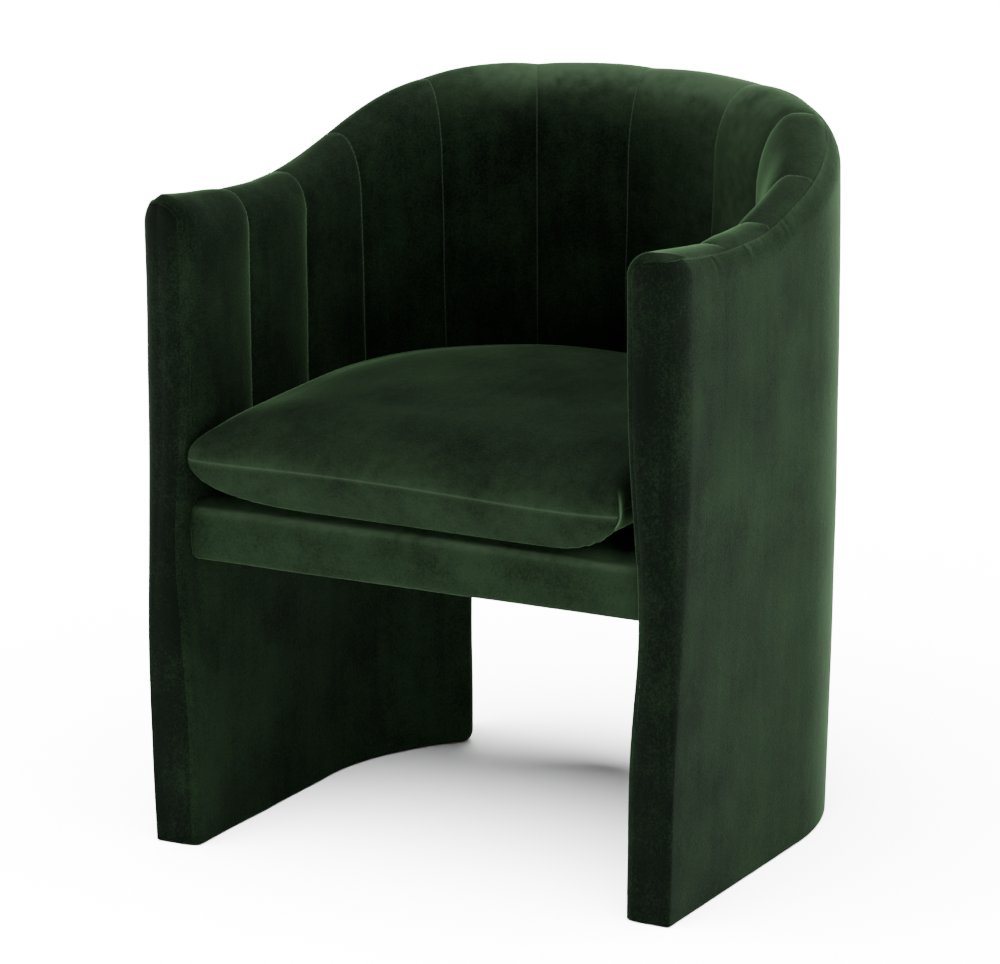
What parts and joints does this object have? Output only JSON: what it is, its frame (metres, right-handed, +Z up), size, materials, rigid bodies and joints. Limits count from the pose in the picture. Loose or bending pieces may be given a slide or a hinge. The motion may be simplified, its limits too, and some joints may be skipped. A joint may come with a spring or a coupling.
{
  "type": "dining armchair",
  "caption": "Upholstered barrel armchair: side walls stand on the floor as legs, the top edge swoops from low arms to a high channelled back, and a loose seat cushion lifts off.",
  "frame": {"origin": "on the floor, in the middle of the chair's width and depth", "axes": "+Z up, the sitter faces -Y, +X is the sitter's left"},
  "size_m": [0.6304, 0.62, 0.768],
  "materials": {
    "velvet": "dark bottle-green cotton velvet, short pile, matt with a soft sheen at grazing angles",
    "foam": "open-cell seat foam",
    "webbing": "woven elastic webbing",
    "dust_cloth": "black spun-bonded dust cloth",
    "strip_felt": "dark grey felt strip",
    "glide_plastic": "black moulded plastic",
    "bolt_steel": "zinc-plated steel",
    "beech": "unfinished hardwood and plywood"
  },
  "bodies": {
    "chair": {"arm_rail_left": "beech", "arm_rail_right": "beech", "back_lower_rail": "beech", "back_top_rail": "beech", "back_upright_left": "beech", "back_upright_right": "beech", "base_plate_left": "beech", "base_plate_right": "beech", "bottom_strip_left": "strip_felt", "bottom_strip_right": "strip_felt", "channel_pad_1_left": "velvet", "channel_pad_1_right": "velvet", "channel_pad_2_left": "velvet", "channel_pad_2_right": "velvet", "channel_pad_3_left": "velvet", "channel_pad_3_right": "velvet", "channel_pad_4_left": "velvet", "channel_pad_4_right": "velvet", "channel_pad_5_left": "velvet", "channel_pad_5_right": "velvet", "channel_pad_6_left": "velvet", "channel_pad_6_right": "velvet", "corner_block_left": "beech", "corner_block_right": "beech", "deck_cover": "velvet", "dust_cover": "dust_cloth", "frame_bolts": "bolt_steel", "front_post_left": "beech", "front_post_right": "beech", "front_rail_cover": "velvet", "front_seat_rail": "beech", "glides": "glide_plastic", "leg_lining_left": "velvet", "leg_lining_right": "velvet", "outer_cover": "velvet", "rear_post_left": "beech", "rear_post_right": "beech", "rear_seat_rail": "beech", "seat_webbing": "webbing", "side_post_left": "beech", "side_post_right": "beech", "side_seat_rail_left": "beech", "side_seat_rail_right": "beech"},
    "cushion": {"cushion_cover": "velvet", "cushion_core": "foam"}
  },
  "joints": [
    {"name": "cushion_lift", "type": "slide", "parent": "chair", "child": "cushion", "axis": [0, 0, 1], "range_m": [0, 0.4]}
  ]
}
